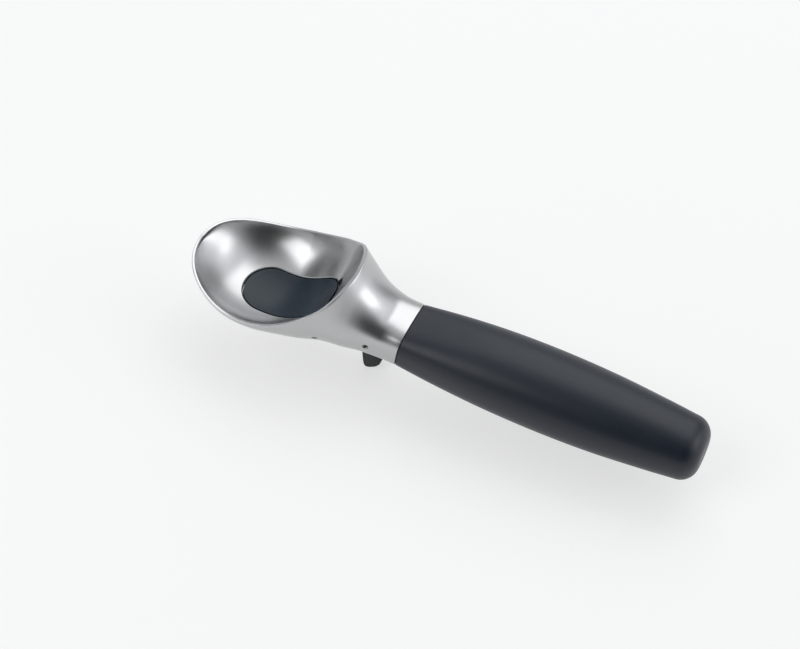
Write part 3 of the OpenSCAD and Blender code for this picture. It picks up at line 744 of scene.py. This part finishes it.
def trigger_outline():
    """Side outline of the trigger: round hub, smooth back and foot, round nose."""
    hub_steps, back_steps, nose_steps = 8, 5, 12
    foot = -STAND_HEIGHT
    nose_x, nose_z = LINK_X - 0.6, -LINK_DEPTH
    back = [
        (TRIGGER_X + TRIGGER_HUB, -TRIGGER_DEPTH), (TRIGGER_X + 3, -TRIGGER_DEPTH - 7),
        (TRIGGER_X + 2.7, -TRIGGER_DEPTH - 12), (TRIGGER_X + 2.2, -TRIGGER_DEPTH - 17),
        (TRIGGER_X + 1, foot + 5), (TRIGGER_X - 0.1, foot + 3.2), (TRIGGER_X - 1.4, foot + 1.8),
        (TRIGGER_X - 4.6, foot), (TRIGGER_X - 6.2, foot + 1.2),
        (TRIGGER_X - 6.7, foot + 8), (TRIGGER_X - 6.9, foot + 13), (TRIGGER_X - 6.3, -TRIGGER_DEPTH - 7),
        (TRIGGER_X - 5.4, -TRIGGER_DEPTH - 4),
    ]
    points = [(nose_x, nose_z + TRIGGER_NOSE), (TRIGGER_X, -TRIGGER_DEPTH + TRIGGER_HUB)]
    for k in range(1, hub_steps):
        a = math.pi / 2 * (1 - k / hub_steps)
        points.append((TRIGGER_X + TRIGGER_HUB * math.cos(a), -TRIGGER_DEPTH + TRIGGER_HUB * math.sin(a)))
    points += [(spot.x, max(spot.y, foot)) for spot in smooth_line(back, back_steps)]
    points += [back[-1], (nose_x, nose_z - TRIGGER_NOSE)]
    for k in range(1, nose_steps):
        a = -math.pi / 2 - math.pi * k / nose_steps
        points.append((nose_x + TRIGGER_NOSE * math.cos(a), nose_z + TRIGGER_NOSE * math.sin(a)))
    return points


def link_slot_cutter():
    """Slot for the link pin in both cheeks."""
    steps = 24
    radius = LINK_D / 2 + LINK_CLEARANCE
    along = Vector((TRIGGER_X - LINK_X, -(TRIGGER_DEPTH - LINK_DEPTH))).normalized()
    side = Vector((-along.y, along.x))
    near = Vector((LINK_X, -LINK_DEPTH))
    far = near - along * LINK_TRAVEL
    turns = [math.pi * k / steps for k in range(steps + 1)]
    swings = [radius * (along * math.sin(a) + side * math.cos(a)) for a in turns]
    outline = [near + swing for swing in swings] + [far - swing for swing in swings]
    return block([(p.x, p.y) for p in outline], LEVER_CUT_WIDTH, "link_slot_tool")


def groove_cutter(web):
    """Groove in the trigger's web for the spring's front leg."""
    over, depth = 1, 1.6
    width = WIRE_D + WIRE_ROOM
    middle = TRIGGER_X - COIL_RADIUS
    outline = rectangle(middle - width / 2, middle + width / 2, web + over, web - depth)
    groove = block(outline, width, "groove_tool")
    groove.data.transform(Matrix.Translation((0, COIL_HALF * MM, 0)))
    return groove


def trigger_blank():
    """Trigger's lever with rounded edges, before its cuts."""
    level = 1e-9
    bm = slab(trigger_outline(), TRIGGER_WIDTH)
    rims = [e for e in bm.edges if abs(e.verts[0].co.y - e.verts[1].co.y) < level]
    bmesh.ops.bevel(
        bm, geom=rims, offset=TRIGGER_ROUND * MM, offset_type="OFFSET", affect="EDGES", segments=4,
        profile=0.5, material=-1, clamp_overlap=True
    )
    return piece_from(bm, "trigger_lever")


def trigger():
    """Finger lever: two cheeks over a web, with its bore, the link's slot and the spring's groove."""
    past = 6
    piece = trigger_blank()
    web = -TRIGGER_DEPTH - WEB_DROP
    between_cheeks = TRIGGER_WIDTH - 2 * CHEEK_T
    tools = [
        block(rectangle(LINK_X - past, TRIGGER_X + past, 0, web), between_cheeks, "room_tool"),
        cross_round(TRIGGER_X, TRIGGER_DEPTH, LEVER_BORE_D, LEVER_CUT_WIDTH, "bore_tool"),
        link_slot_cutter(),
        groove_cutter(web),
    ]
    joined(piece, tools, "DIFFERENCE")
    return dressed(smoothed(piece), "trigger", "trigger_plastic", trigger_plastic(), "trigger")


def hollow_pin(x, depth, name, node):
    """Hollow slit pin with chamfered ends."""
    chamfer, steps = 0.15, 56
    half = side_reach(x, -depth) - PIN_RECESS
    outer, inner = PIN_D / 2, PIN_D / 2 - PIN_WALL
    profile = [
        (outer, -half + chamfer), (outer, half - chamfer), (outer - chamfer, half), (inner, half),
        (inner, -half), (outer - chamfer, -half),
    ]
    bm = bmesh.new()
    spots = [bm.verts.new(at(x, y, -depth + r)) for r, y in profile]
    edges = [bm.edges.new(pair) for pair in zip(spots, spots[1:] + spots[:1])]
    bmesh.ops.spin(
        bm, geom=spots + edges, cent=at(x, 0, -depth), axis=(0, 1, 0), angle=2 * math.pi,
        steps=steps, use_merge=True
    )
    sewn(bm)
    slit = rectangle(x, x + PIN_D, -depth - PIN_SLIT / 2, -depth + PIN_SLIT / 2)
    piece = joined(piece_from(bm, name), [block(slit, 2 * half + 2, "slit_tool")], "DIFFERENCE")
    return dressed(smoothed(piece), "body", "pin_steel", pin_steel(), node)


def link():
    """Cross pin between the levers."""
    end_gaps = 0.2
    piece = cross_round(LINK_X, LINK_DEPTH, LINK_D, TRIGGER_WIDTH - end_gaps, "link_cross_pin", 48)
    return dressed(smoothed(piece), "ejector", "pin_steel", pin_steel(), "link_pin")


def spring_path():
    """Middle line of the return spring's wire, from the end of its rear leg to that of its front leg."""
    per_turn = 24
    top = -TRIGGER_DEPTH + COIL_RADIUS
    path = [(TRIGGER_X + REAR_LEG, -COIL_HALF, top), (TRIGGER_X + LEG_BEND, -COIL_HALF, top)]
    for k in range(int(COIL_TURNS * per_turn) + 1):
        a = math.pi / 2 + 2 * math.pi * k / per_turn
        path.append((
            TRIGGER_X + COIL_RADIUS * math.cos(a), -COIL_HALF + COIL_PITCH * k / per_turn,
            -TRIGGER_DEPTH + COIL_RADIUS * math.sin(a),
        ))
    front_x = TRIGGER_X - COIL_RADIUS
    path.append((front_x, COIL_HALF, -TRIGGER_DEPTH - LEG_BEND))
    path.append((front_x, COIL_HALF, -TRIGGER_DEPTH - FRONT_LEG))
    return path


def spring():
    """Return spring round the trigger's pin, with its two legs."""
    sides = 12
    turns = [2 * math.pi * k / sides for k in range(sides)]
    path = spring_path()
    rings = []
    for i, spot in enumerate(path):
        ahead = Vector(path[min(i + 1, len(path) - 1)]) - Vector(path[max(i - 1, 0)])
        flat = Vector((0, 1, 0)).cross(ahead).normalized()
        up = ahead.normalized().cross(flat)
        rings.append([Vector(spot) + WIRE_D / 2 * (math.cos(a) * flat + math.sin(a) * up) for a in turns])
    piece = smoothed(piece_from(capped(rings), "return_spring"), 50)
    return dressed(piece, "body", "spring_steel", spring_steel(), "trigger_spring")


def noise(nodes, links, spots, size, detail):
    """Noise of a size in millimetres at the given spots."""
    made = nodes.new("ShaderNodeTexNoise")
    made.inputs["Scale"].default_value = 1 / (size * MM)
    made.inputs["Detail"].default_value = detail
    links.new(spots, made.inputs["Vector"])
    return made.outputs["Fac"]


def blotches(nodes, links, broad, colour, mottle):
    """Colour that varies softly with the broad noise."""
    tint = nodes.new("ShaderNodeMix")
    tint.data_type = "RGBA"
    tint.inputs["A"].default_value = [c * (1 - mottle) for c in colour] + [1]
    tint.inputs["B"].default_value = [min(c * (1 + mottle), 1) for c in colour] + [1]
    links.new(broad, tint.inputs["Factor"])
    return tint.outputs["Result"]


def gloss(nodes, links, fine, broad, roughness):
    """Roughness that varies over its range with the sum of both noises."""
    least, most = 0.6, 1.4
    both = nodes.new("ShaderNodeMath")
    both.operation = "ADD"
    links.new(fine, both.inputs[0])
    links.new(broad, both.inputs[1])
    spread = nodes.new("ShaderNodeMapRange")
    spread.inputs["From Min"].default_value = least
    spread.inputs["From Max"].default_value = most
    spread.inputs["To Min"].default_value = roughness[0]
    spread.inputs["To Max"].default_value = roughness[1]
    links.new(both.outputs["Value"], spread.inputs["Value"])
    return spread.outputs["Result"]


def relief(nodes, links, fine, grain, bump):
    """Shallow relief of the fine grain."""
    depth_share = 0.4
    made = nodes.new("ShaderNodeBump")
    made.inputs["Strength"].default_value = bump
    made.inputs["Distance"].default_value = grain * MM * depth_share
    links.new(fine, made.inputs["Height"])
    return made.outputs["Normal"]


def finish(name, colour, roughness, grain, bump, metallic=0.0, mottle=0.06, blotch=9.0):
    """Material with a fine grain of a size in millimetres and soft blotches of colour and gloss."""
    fine_detail, broad_detail = 3, 4
    material = bpy.data.materials.new(name)
    material.use_nodes = True
    nodes, links = material.node_tree.nodes, material.node_tree.links
    shader = nodes["Principled BSDF"]
    shader.inputs["Metallic"].default_value = metallic
    spots = nodes.new("ShaderNodeTexCoord").outputs["Object"]
    fine = noise(nodes, links, spots, grain, fine_detail)
    broad = noise(nodes, links, spots, blotch, broad_detail)
    links.new(blotches(nodes, links, broad, colour, mottle), shader.inputs["Base Color"])
    links.new(gloss(nodes, links, fine, broad, roughness), shader.inputs["Roughness"])
    links.new(relief(nodes, links, fine, grain, bump), shader.inputs["Normal"])
    return material, shader


def satin_metal():
    """Polished die cast metal with a satin bloom."""
    material, shader = finish(
        "satin_metal", (0.48, 0.481, 0.485), (0.27, 0.31), 0.3, 0.01, metallic=1.0, mottle=0.012, blotch=6
    )
    shader.inputs["IOR"].default_value = 1.5
    return material


def plate_plastic():
    """Dark slate plastic with a matte moulded grain."""
    material, shader = finish("plate_plastic", (0.005, 0.015, 0.026), (0.34, 0.4), 0.3, 0.08)
    shader.inputs["Specular IOR Level"].default_value = 0.4
    return material


def trigger_plastic():
    """Black matte plastic."""
    material, shader = finish("trigger_plastic", (0.006, 0.007, 0.009), (0.4, 0.5), 0.25, 0.15)
    shader.inputs["Specular IOR Level"].default_value = 0.25
    return material


def grip_rubber():
    """Soft touch sleeve in charcoal with a faint blue cast."""
    material, shader = finish("grip_rubber", (0.0065, 0.0115, 0.0205), (0.37, 0.43), 0.22, 0.12, blotch=14)
    shader.inputs["Specular IOR Level"].default_value = 0.42
    return material


def lever_plastic():
    """Dark plastic of the lever under the plate."""
    return finish("lever_plastic", (0.03, 0.032, 0.036), (0.45, 0.6), 0.3, 0.12)[0]


def pin_steel():
    """Ground steel of the pins and the screw."""
    return finish("pin_steel", (0.52, 0.52, 0.53), (0.25, 0.4), 0.12, 0.06, metallic=1.0, blotch=1.2)[0]


def spring_steel():
    """Drawn spring wire."""
    return finish("spring_steel", (0.46, 0.46, 0.47), (0.3, 0.42), 0.1, 0.05, metallic=1.0, blotch=0.8)[0]


def seal_rubber():
    """Thin black seal."""
    return finish("seal_rubber", (0.01, 0.01, 0.01), (0.6, 0.75), 0.15, 0.15)[0]


def core_plastic():
    """Hard grey core of the handle."""
    return finish("core_plastic", (0.1, 0.1, 0.11), (0.4, 0.55), 0.4, 0.1)[0]


def floor():
    """Pale lit table under the scoop."""
    half_width = 2.5
    bm = bmesh.new()
    bmesh.ops.create_grid(bm, x_segments=2, y_segments=2, size=half_width)
    ground = piece_from(bm, "floor")
    material, shader = finish(
        "floor_paint", (0.36, 0.36, 0.36), (0.75, 0.85), 2.0, 0.02, mottle=0.004, blotch=60
    )
    shader.inputs["Specular IOR Level"].default_value = 0.1
    shader.inputs["Emission Color"].default_value = (1, 1, 1, 1)
    shader.inputs["Emission Strength"].default_value = 0.59
    ground.data.materials.append(material)


def heading(azimuth, elevation):
    """Direction out of the scoop from an azimuth and an elevation in degrees."""
    turn, rise = math.radians(azimuth), math.radians(elevation)
    return Vector((math.cos(turn) * math.cos(rise), math.sin(turn) * math.cos(rise), math.sin(rise)))


def softbox(name, azimuth, elevation, size, radiance):
    """Soft area light that faces the scoop from a direction in degrees, at a fixed distance."""
    distance = 1.2
    towards = heading(azimuth, elevation)
    data = bpy.data.lights.new(name, "AREA")
    data.shape = "RECTANGLE"
    data.size, data.size_y = size
    data.energy = radiance * math.pi * size[0] * size[1]
    lamp = bpy.data.objects.new(name, data)
    bpy.context.scene.collection.objects.link(lamp)
    lamp.location = towards * distance
    lamp.rotation_euler = towards.to_track_quat("Z", "Y").to_euler()


def room_side(nodes, links, spots, azimuth, elevation, start, share):
    """Share of the room's brightness round a direction in degrees."""
    core = 0.15
    facing = nodes.new("ShaderNodeVectorMath")
    facing.operation = "DOT_PRODUCT"
    facing.inputs[1].default_value = heading(azimuth, elevation)
    links.new(spots.outputs["Generated"], facing.inputs[0])
    fall = nodes.new("ShaderNodeMapRange")
    fall.interpolation_type = "SMOOTHSTEP"
    fall.inputs["From Min"].default_value = start
    fall.inputs["From Max"].default_value = 1 - (1 - start) * core
    fall.inputs["To Min"].default_value = 1
    fall.inputs["To Max"].default_value = share
    links.new(facing.outputs["Value"], fall.inputs["Value"])
    return fall.outputs["Result"]


def room():
    """Pale room, darker at the camera's side, the left and the right rear, and lighter on the right."""
    world = bpy.data.worlds.new("studio")
    bpy.context.scene.world = world
    world.use_nodes = True
    nodes, links = world.node_tree.nodes, world.node_tree.links
    spots = nodes.new("ShaderNodeTexCoord")
    brightness = nodes.new("ShaderNodeValue")
    brightness.outputs["Value"].default_value = ROOM_LIGHT
    light = brightness.outputs["Value"]
    for azimuth, elevation, start, share in ROOM_SIDES:
        both = nodes.new("ShaderNodeMath")
        both.operation = "MULTIPLY"
        links.new(light, both.inputs[0])
        links.new(room_side(nodes, links, spots, azimuth, elevation, start, share), both.inputs[1])
        light = both.outputs["Value"]
    links.new(light, nodes["Background"].inputs["Strength"])
    nodes["Background"].inputs["Color"].default_value = (0.95, 0.975, 1, 1)


def lights():
    """Three soft studio lights."""
    softbox("front_light", -134, 46, (0.8, 0.7), 2.15)
    softbox("right_light", 17, 27, (0.5, 0.46), 1.9)
    softbox("back_light", 92, 54, (1.1, 0.9), 1.45)


def camera():
    """Camera at the photograph's place and angle, in metres and degrees."""
    place = (0.15925, -0.36368, 0.53791)
    azimuth, elevation = math.radians(26), math.radians(51.5)
    image_width, focal_pixels = 800, 1711
    data = bpy.data.cameras.new("camera")
    data.sensor_width = 36
    data.lens = focal_pixels / image_width * data.sensor_width
    data.clip_start = 0.01
    view = bpy.data.objects.new("camera", data)
    bpy.context.scene.collection.objects.link(view)
    sin_a, cos_a = math.sin(azimuth), math.cos(azimuth)
    sin_e, cos_e = math.sin(elevation), math.cos(elevation)
    right = Vector((cos_a, sin_a, 0))
    up = Vector((-sin_a * sin_e, cos_a * sin_e, cos_e))
    back = Vector((sin_a * cos_e, -cos_a * cos_e, sin_e))
    turn = Matrix((right, up, back)).transposed()
    view.matrix_world = Matrix.Translation(place) @ turn.to_4x4()
    bpy.context.scene.camera = view


def carried_over():
    """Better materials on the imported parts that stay."""
    finishes = {
        "ejector_arm": lever_plastic(),
        "joint_seal": seal_rubber(),
        "handle_core": core_plastic(),
        "core_plug": core_plastic(),
        "tang_screw": pin_steel(),
        "tang_washer": pin_steel(),
    }
    for node, material in finishes.items():
        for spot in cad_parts[node].material_slots:
            spot.material = material


camera()
bpy.context.scene.view_settings.view_transform = "Standard"
floor()
room()
lights()
head()
plate()
grip()
trigger()
hollow_pin(EJECTOR_X, EJECTOR_DEPTH, "ejector_pin", "ejector_pivot_pin")
hollow_pin(TRIGGER_X, TRIGGER_DEPTH, "trigger_pin", "trigger_pivot_pin")
link()
spring()
carried_over()
